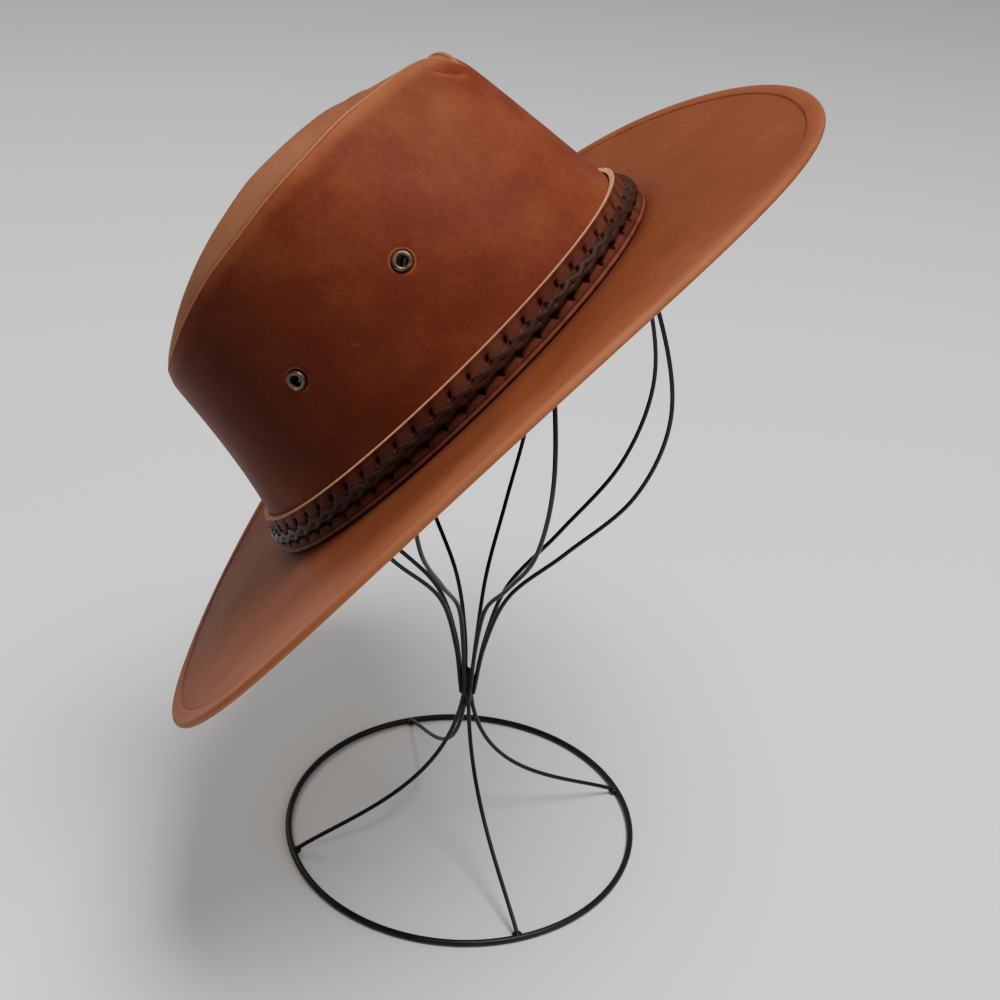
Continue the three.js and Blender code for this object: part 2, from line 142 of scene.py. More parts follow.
def cubic(t, start, start_slope, end, end_slope):
    """The cubic over t from 0 to 1 that has these values and slopes at its two ends."""
    return (
        (2 * t**3 - 3 * t**2 + 1) * start + (t**3 - 2 * t**2 + t) * start_slope
        + (3 * t**2 - 2 * t**3) * end + (t**3 - t**2) * end_slope
    )


def between(rows, column, at):
    """Smooth curve through a table: a cubic between two rows whose slope at each row is the
    rise from the row before to the row after, over their distance."""
    at = np.asarray(at, float)
    places, values = rows[:, 0], rows[:, column]
    last = len(rows) - 1
    low = np.clip(np.searchsorted(places, at) - 1, 0, last - 1)
    high = low + 1
    before = np.maximum(low - 1, 0)
    after = np.minimum(high + 1, last)
    span = places[high] - places[low]
    t = np.clip((at - places[low]) / span, 0, 1)
    slope_low = (values[high] - values[before]) / (places[high] - places[before])
    slope_high = (values[after] - values[low]) / (places[after] - places[low])
    return cubic(t, values[low], span * slope_low, values[high], span * slope_high)


def ease(low, high, at):
    """Rises from 0 to 1 between low and high as three squares less two cubes."""
    t = np.clip((np.asarray(at, float) - low) / (high - low), 0, 1)
    return t * t * (3 - 2 * t)


def hump(distance, width):
    """A bell: e to the minus square of distance over width."""
    return np.exp(-((distance / width) ** 2))


def circle(count):
    """Angles spaced evenly round a full turn."""
    return np.linspace(0, 2 * np.pi, count, endpoint=False)


def degrees_apart(angle, place):
    """Signed degrees from a place round the hat, between -180 and 180."""
    return (np.degrees(angle) - place + 540) % 360 - 180


def round_hump(angle, place, spread):
    """A bell about a place round the hat, with place and spread in degrees."""
    return hump(degrees_apart(angle, place), spread)


def seam_height(angle):
    """Crown height times the seam table's share, read by degrees from the front, less the drop
    of the left side, which eases in with the sine of the angle."""
    drop = left_drop * ease(0, left_full, np.sin(angle))
    return crown_height * between(seam_sections, 1, np.abs(degrees_apart(angle, 0))) - drop


def foot_height(angle):
    """Low at front and back, high at the sides: minus the bow times cosine of twice round."""
    return -foot_bow * np.cos(2 * angle)


def wall_face(angle, up):
    """Outside of the wall: an ellipse whose half sizes come from the table at this height, less
    the pinches, which are bells round their places that grow with height; the height runs
    evenly from foot to seam."""
    angle, up = np.broadcast_arrays(angle, up)
    pinch = sum(round_hump(angle, place, pinch_spread) for place in pinch_places)
    push = pinch_depth * pinch * ease(pinch_start, 1, up)
    ahead = crown_length / 2 * between(wall_sections, 3, up)
    half_long = crown_length / 2 * between(wall_sections, 1, up) - push
    half_wide = crown_width / 2 * between(wall_sections, 2, up) - push
    foot = foot_height(angle)
    return np.stack([
        ahead + half_long * np.cos(angle),
        half_wide * np.sin(angle),
        foot + (seam_height(angle) - foot) * up,
    ], axis=-1)


def face_normal(face, angle, share):
    """Unit normal of a face: the cross product of its slope round and its slope along."""
    step = 1e-3
    round_slope = face(angle + step, share) - face(angle - step, share)
    lower, upper = np.clip(share - step, -0.1, 1), np.clip(share + step, -0.1, 1)
    normal = np.cross(round_slope, face(angle, upper) - face(angle, lower))
    return normal / np.linalg.norm(normal, axis=-1, keepdims=True)


def hide(face, angle, share, depth):
    """Points of a hide: its face's point, moved in along the face's normal by the depth."""
    angle, share, depth = np.broadcast_arrays(angle, share, depth)
    return face(angle, share) - face_normal(face, angle, share) * depth[..., None]


def from_ring(points):
    """Points in millimetres from the ring's middle, as metres in the frame."""
    return points * 0.001 + ring_middle


def on_stand(points):
    """Hat points turned by roll, nose up and swing and set over the ring, in metres."""
    turn = (
        Matrix.Rotation(math.radians(hat_swing), 3, "Z")
        @ Matrix.Rotation(math.radians(-hat_nose_up), 3, "Y")
        @ Matrix.Rotation(math.radians(hat_roll), 3, "X")
    )
    seat = np.array([hat_across, hat_deep, hat_height])
    return from_ring(points @ np.array(turn).T + seat)


def grid_faces(rows, columns, rows_join=False, flip=False):
    """Four-cornered faces of a grid whose last column joins its first, and whose last row
    joins its first if rows_join is set."""
    row = np.arange(rows if rows_join else rows - 1)[:, None]
    column = np.arange(columns)[None, :]
    next_row, next_column = (row + 1) % rows, (column + 1) % columns
    corners = [
        row * columns + column,
        row * columns + next_column,
        next_row * columns + next_column,
        next_row * columns + column,
    ]
    faces = np.stack(np.broadcast_arrays(*corners), axis=-1).reshape(-1, 4)
    return faces[:, ::-1] if flip else faces


def piece(name, points, faces, material, slot, nodes=(), **marks):
    """A smooth mesh object from points in metres and groups of faces. Each mark is a number for
    every point, or for each row or column of points, that the material reads, and a mark that
    isn't given is 0. The object rides on the root body and stands for the nodes."""
    mesh = bpy.data.meshes.new(name)
    all_faces = [face for group in faces for face in group.tolist()]
    mesh.from_pydata(points.reshape(-1, 3).tolist(), [], all_faces)
    mesh.polygons.foreach_set("use_smooth", np.ones(len(mesh.polygons), bool))
    for mark, values in marks.items():
        layer = mesh.attributes.new(mark, "FLOAT", "POINT")
        spread = np.broadcast_to(np.asarray(values, np.float32), points.shape[:-1])
        layer.data.foreach_set("value", spread.ravel())
    mesh.materials.append(material)
    made = put(name, mesh)
    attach(made, "root")
    if nodes:
        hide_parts(*nodes)


def fill(tree, socket, value):
    """Links a source to a socket, or sets a number, vector or colour in it."""
    if isinstance(value, bpy.types.NodeSocket):
        tree.links.new(value, socket)
    else:
        socket.default_value = (*value, 1) if socket.type == "RGBA" else value


def node(tree, kind, **values):
    """Adds a shader node and fills its properties and its sockets by name."""
    made = tree.nodes.new(kind)
    for key, value in values.items():
        if hasattr(made, key):
            setattr(made, key, value)
        else:
            fill(tree, made.inputs[key.replace("_", " ")], value)
    return made


def finish(name):
    """A new material, its node tree, its shader, and the place on the piece as a socket."""
    material = bpy.data.materials.new(name)
    material.use_nodes = True
    tree = material.node_tree
    place = node(tree, "ShaderNodeTexCoord").outputs["Object"]
    return material, tree, tree.nodes["Principled BSDF"], place


def mark_of(tree, name):
    """A mark of the mesh as a socket."""
    return node(tree, "ShaderNodeAttribute", attribute_name=name).outputs["Fac"]


def ramp(tree, source, stops):
    """A colour ramp through (place, colour) stops."""
    made = node(tree, "ShaderNodeValToRGB", Fac=source)
    elements = made.color_ramp.elements
    while len(elements) < len(stops):
        elements.new(0.5)
    for element, (place, colour) in zip(elements, stops):
        element.position = place
        element.color = (*colour, 1)
    return made.outputs["Color"]


def maths(tree, operation, *values):
    """One step of arithmetic on sockets or numbers."""
    made = node(tree, "ShaderNodeMath", operation=operation)
    for socket, value in zip(made.inputs, values):
        fill(tree, socket, value)
    return made.outputs[0]


def weigh(tree, total, *terms):
    """A total, socket or number, plus every socket times its weight."""
    for socket, weight in terms:
        total = maths(tree, "MULTIPLY_ADD", socket, weight, total)
    return total


def blended(tree, share, first, second):
    """Mixes two colours, each a socket or a plain colour; a mix node's numbers come first, and
    its colours are inputs 6 and 7 and output 2."""
    made = node(tree, "ShaderNodeMix", data_type="RGBA")
    for place, value in ((0, share), (6, first), (7, second)):
        fill(tree, made.inputs[place], value)
    return made.outputs[2]


def noise(tree, place, scale, detail=3.0, roughness=0.5, distortion=0.0):
    """Cloudy noise at a number of cells to the metre."""
    made = node(
        tree, "ShaderNodeTexNoise", Vector=place, Scale=scale, Detail=detail,
        Roughness=roughness, Distortion=distortion,
    )
    return made.outputs["Fac"]


def coat(tree, shader, colour, rough, height, strength, distance):
    """Gives the shader a colour, a roughness and a relief from a height; the distance is in
    metres."""
    bump = node(tree, "ShaderNodeBump", Height=height, Strength=strength, Distance=distance)
    tree.links.new(colour, shader.inputs["Base Color"])
    tree.links.new(rough, shader.inputs["Roughness"])
    tree.links.new(bump.outputs["Normal"], shader.inputs["Normal"])


def ring_round(tree, distance, radius, width):
    """A ring: e to the minus square of distance less radius, over width."""
    off = maths(tree, "MULTIPLY_ADD", distance, 1 / width, -radius / width)
    square = maths(tree, "MULTIPLY", off, off)
    return maths(tree, "EXPONENT", maths(tree, "MULTIPLY", square, -1.0), 0.0)


# Rings in the hide round an eyelet, as radius and width in metres: a painted highlight where
# the hide turns up, and a pressed ring that holds painted shade.
highlight_ring = (0.00475, 0.00035)
dent_and_shade_ring = (0.00400, 0.00030)


def waxed_hide(
    name, dark, middle, light, cloud, gloss=0.52, shine=0.035, holes=(),
    raw=(0.52, 0.27, 0.15), suede=(0.060, 0.025, 0.013),
):
    """Waxed hide: cloudy pull-up colour over broad, middling and fine patches, lighter or darker
    where the tone mark says, which holds both stretched and worn places and painted highlight and
    shade, pale at raw edges, matt and brushed on the flesh side; fine pores, soft wrinkles and
    scuffs in the surface. Round each hole it is pressed in, with painted shade close by and a
    painted highlight where it turns up again."""
    material, tree, shader, place = finish(name)
    tone = mark_of(tree, "tone")
    raw_mark = mark_of(tree, "raw")
    flesh = mark_of(tree, "flesh")

    broad = noise(tree, place, 13, 2, 0.5, 0.7)
    patch = noise(tree, place, 46, 4, 0.6, 0.4)
    speck = noise(tree, place, 420, 4, 0.6)
    pores = noise(tree, place, 2600, 3, 0.6)
    grain = node(tree, "ShaderNodeTexVoronoi", Vector=place, Scale=1100.0)

    # Scuffs are long thin noise cells, cut off low so that only a few show.
    slant = node(
        tree, "ShaderNodeMapping", Vector=place, Rotation=(0.4, 0.9, 0.3), Scale=(45, 260, 190)
    )
    streak = noise(tree, slant.outputs["Vector"], 1, 4, 0.6, 0.6)
    scuff = node(
        tree, "ShaderNodeMapRange", Value=streak, interpolation_type="SMOOTHSTEP",
        From_Min=0.62, From_Max=0.78,
    ).outputs["Result"]

    # The sum of patches, tone and rings picks the colour between dark and light.
    level_sum = weigh(
        tree, 0.42 - 0.75 * cloud, (broad, cloud), (patch, cloud / 2), (speck, 0.16), (tone, 0.42)
    )
    relief = weigh(
        tree, pores, (grain.outputs["Distance"], 0.5), (speck, 0.8), (patch, 1.0), (scuff, -0.5)
    )
    # Round each hole a painted highlight ring and painted shade in the pressed ring change the
    # colour, and the pressed ring also sinks the relief.
    for hole in holes:
        apart = node(tree, "ShaderNodeVectorMath", operation="DISTANCE")
        fill(tree, apart.inputs[0], place)
        fill(tree, apart.inputs[1], hole)
        pale = ring_round(tree, apart.outputs["Value"], *highlight_ring)
        dent_and_shade = ring_round(tree, apart.outputs["Value"], *dent_and_shade_ring)
        level_sum = weigh(tree, level_sum, (pale, 0.30), (dent_and_shade, -0.30))
        relief = weigh(tree, relief, (dent_and_shade, -1.0))
    colour = ramp(tree, level_sum, [(0.12, dark), (0.5, middle), (0.92, light)])
    colour = blended(tree, maths(tree, "MULTIPLY", scuff, 0.22), colour, light)
    fibre = ramp(tree, speck, [(0.3, tuple(c * 0.7 for c in raw)), (0.7, raw)])
    colour = blended(tree, raw_mark, colour, fibre)
    nap = ramp(tree, speck, [(0.35, tuple(c * 0.75 for c in suede)), (0.7, suede)])
    colour = blended(tree, flesh, colour, nap)
    rough = weigh(
        tree, gloss - 0.13, (patch, 0.26), (scuff, 0.12), (raw_mark, 0.3), (flesh, 0.4)
    )
    coat(tree, shader, colour, rough, relief, 0.24, 0.0004)
    shader.inputs["Specular IOR Level"].default_value = shine
    return material


eyelet_angles, eyelet_ups = np.array(list(eyelet_places.values())).T
eyelet_angles = np.radians(eyelet_angles)
eyelet_middles = wall_face(eyelet_angles, eyelet_ups)
crown_hide = waxed_hide(
    "crown_hide",
    dark=(0.033, 0.0066, 0.0043), middle=(0.113, 0.0242, 0.0128),
    light=(0.240, 0.0785, 0.0330), cloud=0.6, holes=on_stand(eyelet_middles).tolist(),
)

# The cut edges are half rounds as high as the hide is thick, on a wall that runs up 100 mm.
wall_columns = 480
wall_angles = circle(wall_columns)
wall_run = 100.0
edge_share = crown_leather / 2 / wall_run
edge_turn = np.linspace(0, np.pi, 9)
face_rows = 90
face_up = np.linspace(edge_share, 1 - edge_share, face_rows + 2)[1:-1]
wall_up = np.concatenate([
    face_up,
    1 - edge_share + edge_share * np.sin(edge_turn),
    face_up[::-1],
    edge_share - edge_share * np.sin(edge_turn),
])
wall_depth = np.concatenate([
    np.zeros(face_rows),
    crown_leather / 2 * (1 - np.cos(edge_turn)),
    np.full(face_rows, crown_leather),
    crown_leather / 2 * (1 + np.cos(edge_turn)),
])[:, None]
wall_rows = len(wall_up)
back_start = face_rows + len(edge_turn)
back_stop = back_start + face_rows

# Cells inside an eyelet's hole are left open in the face, and the points round the opening are
# drawn onto a circle. The back is opened in the same places.
hole_radius = 2.8
wall_round, wall_share = (
    grid.copy() for grid in np.broadcast_arrays(wall_angles[None, :], wall_up[:, None])
)
open_cells = np.zeros((wall_rows, wall_columns), bool)
for hole_round, hole_up, hole_middle in zip(
    eyelet_angles % (2 * np.pi), eyelet_ups, eyelet_middles
):
    face_round, face_share = wall_round[:face_rows], wall_share[:face_rows]
    away = np.linalg.norm(wall_face(face_round, face_share) - hole_middle, axis=-1)
    beside = np.roll(away, -1, axis=1)
    cells = (away[:-1] + away[1:] + beside[:-1] + beside[1:]) / 4 < hole_radius
    touching = np.zeros(away.shape, int)
    for shifted in (cells, np.roll(cells, 1, axis=1)):
        touching[:-1] += shifted
        touching[1:] += shifted
    pull = np.where((touching > 0) & (touching < 4), hole_radius / away, 1.0)
    wall_round[:face_rows] = hole_round + (face_round - hole_round) * pull
    wall_share[:face_rows] = hole_up + (face_share - hole_up) * pull
    open_cells[:face_rows - 1] |= cells
    open_cells[back_start:back_stop - 1] |= cells[::-1]
wall_round[back_start:back_stop] = wall_round[:face_rows][::-1]
wall_share[back_start:back_stop] = wall_share[:face_rows][::-1]

# The hide is pressed in under each eyelet, from well outside its flange.
press_depth = 0.32
press_reach, press_full = 6.6, 3.9
bare_wall = wall_face(wall_round, wall_share)
dent = np.zeros(wall_round.shape)
for hole_middle in eyelet_middles:
    away = np.linalg.norm(bare_wall - hole_middle, axis=-1)
    dent += press_depth * ease(press_reach, press_full, away)

# A short sharp fold runs back from the front pinch near the seam, and the hide swells below it.
# Its line bends up by the square of the degrees past its front end.
fold_front, fold_back = -12, -17
fold_height = 0.893
fold_bend = 0.0012
fold_slant = 92.0
swell_below = 2.4
fold_round = degrees_apart(wall_round, 0)
fold_line = fold_height + fold_bend * np.clip(fold_front - fold_round, 0, 30) ** 2
fold_away = (wall_share - fold_line) * fold_slant
fold_window = ease(fold_back - 5, fold_back, fold_round)
fold_window = fold_window * ease(fold_front + 4, fold_front, fold_round)
fold_swell = hump(fold_away + swell_below, 1.6)
dent += fold_window * (0.55 * hump(fold_away, 0.8) - 0.35 * fold_swell)

# The hide isn't drawn evenly: it waves by a few tenths of a millimetre.
dent += 0.30 * np.sin(5 * wall_round + 0.6) * np.sin(7 * wall_share + 0.5)
dent += 0.16 * np.sin(11 * wall_round + 2.1) * np.sin(4 * wall_share + 1.7)

# Its foot stands off the brim by the gap, which the lowest tenth of the wall takes up.
foot_lift = 0.1
wall_points = hide(wall_face, wall_round, wall_share, wall_depth + dent)
wall_points[..., 2] += gap * np.clip(1 - wall_share / foot_lift, 0, 1)

# It is palest along the turned upper edge, where the hide is stretched and a painted highlight
# lies on it, most toward the front right. Painted shade marks the fold's line, with a painted
# highlight on the swell below it. It is a little darker toward the foot, a painted highlight
# lightens the front, and painted shade darkens the back.
highlight_front, dark_back = -25, -128
edge_pull_up_and_highlight = 0.35 + 0.30 * round_hump(wall_round, -40, 45)
wall_tone = edge_pull_up_and_highlight * ease(0.93, 0.99, wall_share)
wall_tone += 0.3 * fold_window * (fold_swell - hump(fold_away, 0.6))
wall_tone -= 0.15 * ease(0.2, 0.12, wall_share)
wall_tone += 0.14 * round_hump(wall_round, highlight_front, 38)
wall_tone += 0.18 * round_hump(wall_round, highlight_front, 30) * ease(0.6, 0.2, wall_share)
back_shade = round_hump(wall_round, dark_back, 30)
wall_tone -= back_shade * (0.10 + 0.38 * ease(0.1, 0.5, wall_share))

# Each open edge of the face is joined to the same edge of the back.
wall_faces = grid_faces(wall_rows, wall_columns, rows_join=True)[~open_cells.ravel()]
half_edges = np.concatenate([wall_faces[:, [k, (k + 1) % 4]] for k in range(4)])
forward = half_edges[:, 0] * open_cells.size + half_edges[:, 1]
backward = half_edges[:, 1] * open_cells.size + half_edges[:, 0]
rim = half_edges[~np.isin(forward, backward)]
rim = rim[rim[:, 0] < face_rows * wall_columns]
rim_back = (back_stop - 1 - rim // wall_columns) * wall_columns + rim % wall_columns
hole_walls = np.stack([rim[:, 1], rim[:, 0], rim_back[:, 0], rim_back[:, 1]], axis=1)
piece(
    "crown_wall", on_stand(wall_points), [wall_faces, hole_walls], crown_hide,
    "crown_leather", ["crown_side"], tone=wall_tone,
    flesh=ease(0.4, 0.9, wall_depth / crown_leather),
)

# Crown top
# A second panel of the same hide, sewn on along the seam line and pressed down into a long
# crease, so that a rounded lip stands up behind the seam on both sides.
crease_depth = 22.0
crease_long, crease_ahead = 0.63, 0.1
crease_wide, crease_taper = 0.5, 0.08
lip_share = 0.1
seam_tilt = math.radians(48)

# Its colours are paler and greyer than the wall's hide: drier, worn hide, and a painted sheen
# from the light above the crown.
top_hide = waxed_hide(
    "top_hide",
    dark=(0.066, 0.0190, 0.0085), middle=(0.168, 0.0595, 0.0315),
    light=(0.300, 0.1330, 0.0740), cloud=0.4,
)


def top_face(angle, inward):
    """Outside of the top: it leaves the seam and rises by the lip's height over the first
    share as a quarter curve, climbs to the crown's height as the square falls off, and sinks
    into the crease, a bell cut off on an oval line."""
    angle, inward = np.broadcast_arrays(angle, inward)
    seam = wall_face(angle, np.ones(angle.shape))
    middle = crown_length / 2 * wall_sections[-1, 3]
    lip = crown_height * between(seam_sections, 2, np.abs(degrees_apart(angle, 0)))
    edge = seam[..., 2] + lip * (1 - (np.maximum(lip_share - inward, 0) / lip_share) ** 2)
    deck_share = np.clip((inward - lip_share) / (1 - lip_share), 0, 1)
    deck = edge + (crown_height - edge) * (1 - (1 - deck_share) ** 2)
    x = middle + (seam[..., 0] - middle) * (1 - inward)
    y = seam[..., 1] * (1 - inward)
    half_long = crown_length / 2 * crease_long
    half_wide = crown_width / 2 * (crease_wide - crease_taper * x / crown_length)
    away = ((x - crease_ahead * half_long) / half_long) ** 2 + (y / half_wide) ** 2
    return np.stack([x, y, deck - crease_depth * np.maximum(1 - away, 0) ** 1.5], axis=-1)


def foot_out(angle):
    """Unit direction straight out of the crown's foot, seen from above."""
    out = np.stack(
        [crown_width * np.cos(angle), crown_length * np.sin(angle), 0 * angle], axis=-1
    )
    return out / np.linalg.norm(out, axis=-1, keepdims=True)


def over_seam(angle):
    """Unit direction from the wall over the seam to the top: in and up by the seam's tilt."""
    return -foot_out(angle) * math.sin(seam_tilt) + np.array([0, 0, math.cos(seam_tilt)])


def pole_faces(first, pole, columns, flip=False):
    """Three-cornered faces from a row of points, which starts at first, to its pole."""
    row = first + np.arange(columns)
    faces = np.stack([np.full(columns, pole), np.roll(row, -1), row], axis=1)
    return faces[:, ::-1] if flip else faces


# Rows lie close together on the lip and wider on the deck, and every other one is left out of
# the underside.
top_run = 75.0
top_edge = crown_leather / 2 / top_run
top_columns = 400
top_angles = circle(top_columns)
lip_stop, deck_stop = 0.16, 0.985
top_inward = np.concatenate([
    np.linspace(top_edge, lip_stop, 18)[1:], np.linspace(lip_stop, deck_stop, 46)[1:],
])
under_inward = top_inward[::-2]
turn_share = top_edge - top_edge * np.sin(edge_turn)
section_inward = np.concatenate([under_inward, turn_share, top_inward])
section_depth = np.concatenate([
    np.full(len(under_inward), crown_leather),
    crown_leather / 2 * (1 + np.cos(edge_turn)),
    np.zeros(len(top_inward)),
])
top_points = hide(
    top_face, top_angles[None, :], section_inward[:, None], section_depth[:, None]
)
lift = np.clip(1 - section_inward / lip_share, 0, 1)[:, None, None]
top_points += over_seam(top_angles)[None] * gap * lift
outer_pole = top_face(np.array(0.0), np.array(1.0))
inner_pole = outer_pole - np.array([0, 0, crown_leather])
pole = len(section_inward) * top_columns
top_faces = [
    grid_faces(len(section_inward), top_columns),
    pole_faces(0, pole, top_columns),
    pole_faces(pole - top_columns, pole + 1, top_columns, flip=True),
]

# A painted sheen makes it pale along the lip; it is also pale at the right side, and darker
# toward the front.
top_tone = 0.45 * ease(0.2, 0.02, section_inward)[:, None]
top_tone = top_tone + 0.22 * round_hump(top_angles, -92, 20)
top_tone -= 0.50 * round_hump(top_angles, -46, 24)
top_flesh = ease(0.4, 0.9, section_depth / crown_leather)[:, None] + np.zeros(top_tone.shape)
piece(
    "crown_top_panel",
    on_stand(np.concatenate([top_points.reshape(-1, 3), [inner_pole, outer_pole]])),
    top_faces, top_hide, "crown_leather", ["crown_top"],
    tone=np.append(top_tone.ravel(), [0, 0]), flesh=np.append(top_flesh.ravel(), [1, 0]),
)

# Crown seam
# Where wall and top are sewn together, the cut edge of the hide shows between them as a fine
# pale line. It is a thin bead in the valley between the two turned edges.
bead_radius = 0.80
bead_depth = 0.62
bead_steps, bead_sides = 700, 10
bead_angles = circle(bead_steps)
bead_turn = circle(bead_sides)[:, None, None]
just_below = 0.99
bead_out = face_normal(wall_face, bead_angles, np.full(bead_steps, just_below))
bead_up = over_seam(bead_angles)
seam_line = wall_face(bead_angles, np.ones(bead_steps))
bead_middle = seam_line + bead_up * gap / 2 - bead_out * bead_depth
bead_points = bead_middle + bead_radius * (
    np.sin(bead_turn) * bead_out - np.cos(bead_turn) * bead_up
)
piece(
    "crown_seam_edge", on_stand(bead_points),
    [grid_faces(bead_sides, bead_steps, rows_join=True)], crown_hide,
    "crown_leather", tone=0.9, raw=0.26,
)

# Brim
# A wide oval of thicker hide with its sides curled up, on which the crown stands. Its rim is
# folded over and pressed flat as a hem 7 mm wide, which shows as a fine line round the brim.
brim_end_reach = 75.5
brim_side_reach = 84.2
brim_leather = 2.2
hem_leather = 3.0
brim_drop, brim_nod, brim_curl = 1.8, 2.9, 11.5
brim_plump = 2.16
brim_taper = 0.067
brim_sweep = 1.3
brim_dip = 0.42

brim_hide = waxed_hide(
    "brim_hide",
    dark=(0.060, 0.0150, 0.0072), middle=(0.161, 0.0455, 0.0200),
    light=(0.318, 0.1150, 0.0545), cloud=0.28, gloss=0.55,
)


def powered(value, power):
    """The size of a value to a power, with the value's own sign."""
    return np.sign(value) * np.abs(value) ** power


def brim_face(angle, out):
    """Top of the brim: straight out from the crown's foot to the rim, a plump oval, seen from
    above; its height goes from the foot's to the rim's by the share to the sweep's power. The
    rim's height is a drop and cosines of one, two and three times round."""
    angle, out = np.broadcast_arrays(angle, out)
    foot = wall_face(angle, np.zeros(angle.shape))
    cos, sin = np.cos(angle), np.sin(angle)
    power = 2 / brim_plump
    rim_x = (crown_length / 2 + brim_end_reach) * powered(cos, power)
    rim_y = (crown_width / 2 + brim_side_reach) * (1 - brim_taper * cos) * powered(sin, power)
    rim_z = (
        -brim_drop - brim_nod * cos - brim_curl * np.cos(2 * angle)
        - brim_dip * brim_nod * np.cos(3 * angle)
    )
    return np.stack([
        foot[..., 0] + (rim_x - foot[..., 0]) * out,
        foot[..., 1] + (rim_y - foot[..., 1]) * out,
        foot[..., 2] + (rim_z - foot[..., 2]) * np.maximum(out, 0) ** brim_sweep,
    ], axis=-1)


# Rows crowd together at the hem's edge, and are given by their distance from the rim.
brim_columns = 640
brim_angles = circle(brim_columns)
foot_line = brim_face(brim_angles, np.zeros(brim_columns))
rim_line = brim_face(brim_angles, np.ones(brim_columns))
brim_reach = np.linalg.norm((rim_line - foot_line)[:, :2], axis=-1)
plain_away = np.linspace(1, 0, 34)[:-1]
hem_away = np.array([9.0, 8.2, 7.7, 7.4, 7.15, 6.9, 6.6, 6.2, 5.6, 4.8, 3.8, 2.8, 2.1])
nose_turn = np.linspace(0, np.pi, 13)
nose_radius = hem_leather / 2
under_away = np.linspace(0, 1, 14)[1:]

inner_out = -crown_leather / brim_reach
to_hem = 1 - hem_away[0] / brim_reach
face_out = to_hem + (inner_out - to_hem) * plain_away[:, None]
hem_out = 1 - hem_away[:, None] / brim_reach
nose_out = 1 - nose_radius * (1 - np.sin(nose_turn))[:, None] / brim_reach
under_out = to_hem + (inner_out - to_hem) * under_away[:, None]

# Rows: distance from the rim, and how far the face stands up there. The hem is the thicker
# part, and the sheet is pressed in along its edge.
hem_sections = np.array([
    (0.00, 0.40), (5.20, 0.42), (6.20, 0.38), (6.60, 0.24), (6.90, 0.00),
    (7.15, -0.18), (7.40, -0.16), (8.20, -0.02), (9.00, 0.00),
])
hem_rise = np.interp(hem_away, hem_sections[:, 0], hem_sections[:, 1])
brim_out = np.concatenate([face_out[:-1], hem_out, nose_out, hem_out[::-1], under_out])
brim_depth = np.concatenate([
    np.zeros(len(face_out) - 1), -hem_rise,
    brim_leather / 2 - nose_radius * np.cos(nose_turn),
    brim_leather + hem_rise[::-1], np.full(len(under_out), brim_leather),
])[:, None]

# The wide sheet isn't quite even: it waves by a few tenths of a millimetre toward the rim.
brim_wave = 0.5 * np.sin(3 * brim_angles + 0.9) + 0.35 * np.sin(7 * brim_angles + 2.6)
brim_wave = brim_wave * np.clip(brim_out, 0, 1) ** 2 * ease(1.0, 0.85, brim_out)
brim_points = hide(brim_face, brim_angles[None, :], brim_out, -brim_depth - brim_wave)
rim_away = (1 - brim_out) * brim_reach

# It is paler toward the rim. A painted highlight makes it palest on the right side, where the
# light falls, and runs along the hem's edge; painted shade darkens the hem's line and the brim
# under the band.
brim_tone = 0.28 * ease(8.5, 1.5, rim_away)
brim_tone += 0.2 * hump(rim_away - 6.3, 0.5)
brim_tone -= 0.3 * hump(rim_away - 7.25, 0.35)
brim_tone -= 0.35 * ease(0.16, 0.02, brim_out)
brim_tone += 0.68 * round_hump(brim_angles, -88, 42) * ease(0.35, 0.85, brim_out)
piece(
    "brim_sheet", on_stand(brim_points),
    [grid_faces(*brim_out.shape, rows_join=True, flip=True)], brim_hide,
    "brim_leather", ["brim"], tone=brim_tone,
)

# Hat band
# A strap of stout red-brown leather round the foot of the crown. Its top edge is left raw, a
# line is creased along each edge, and two rows of slits are cut for the lacing.
band_height = 15.8
band_leather = 2.6
band_low = gap * 2
band_middle = band_low + band_height / 2
slit_pitch = 9.5
upper_slit = (11.6, 13.3)
lower_slit = (3.9, 5.9)
slit_lean = 0.55
slit_depth = 1.25
pucker_depth = 0.45
upper_pucker, lower_pucker = (12.6, 2.4), (5.0, 2.0)
crease_line_depth = 0.22

band_hide = waxed_hide(
    "band_hide",
    dark=(0.025, 0.0056, 0.0038), middle=(0.057, 0.0135, 0.0082),
    light=(0.150, 0.0470, 0.0290), raw=(0.58, 0.31, 0.17), cloud=0.6, gloss=0.48,
)


def strap_place(angle, up, out):
    """A point at a height above the foot and a distance out from the crown wall."""
    angle, up, out = np.broadcast_arrays(angle, up, out)
    foot = foot_height(angle)
    wall = wall_face(angle, up / (seam_height(angle) - foot))
    return wall + foot_out(angle) * out[..., None]


fine_angles = np.linspace(0, 2 * np.pi, 4001)
fine_line = strap_place(fine_angles, np.array(band_middle), np.array(band_leather))
fine_run = np.append(0, np.cumsum(np.linalg.norm(np.diff(fine_line, axis=0), axis=1)))
band_run = fine_run[-1]
slit_count = int(round(band_run / slit_pitch))
slit_step = band_run / slit_count


def round_at(run):
    """Angle round the hat at a distance along the band, in millimetres from the front."""
    turns, rest = np.divmod(run, band_run)
    return np.interp(rest, fine_run, fine_angles) + turns * 2 * np.pi


# Columns crowd together at each slit, and lean with the upper slits above the middle.
columns_per_slit = 18
column_share = (np.arange(columns_per_slit) / columns_per_slit - 0.5)[None, :]
column_place = slit_step * column_share * (0.28 + 0.72 * np.abs(2 * column_share) ** 1.3)
slit_places = (np.arange(slit_count) * slit_step)[:, None]
strap_run = (slit_places + column_place).ravel()
slit_away = np.tile(column_place.ravel(), slit_count)

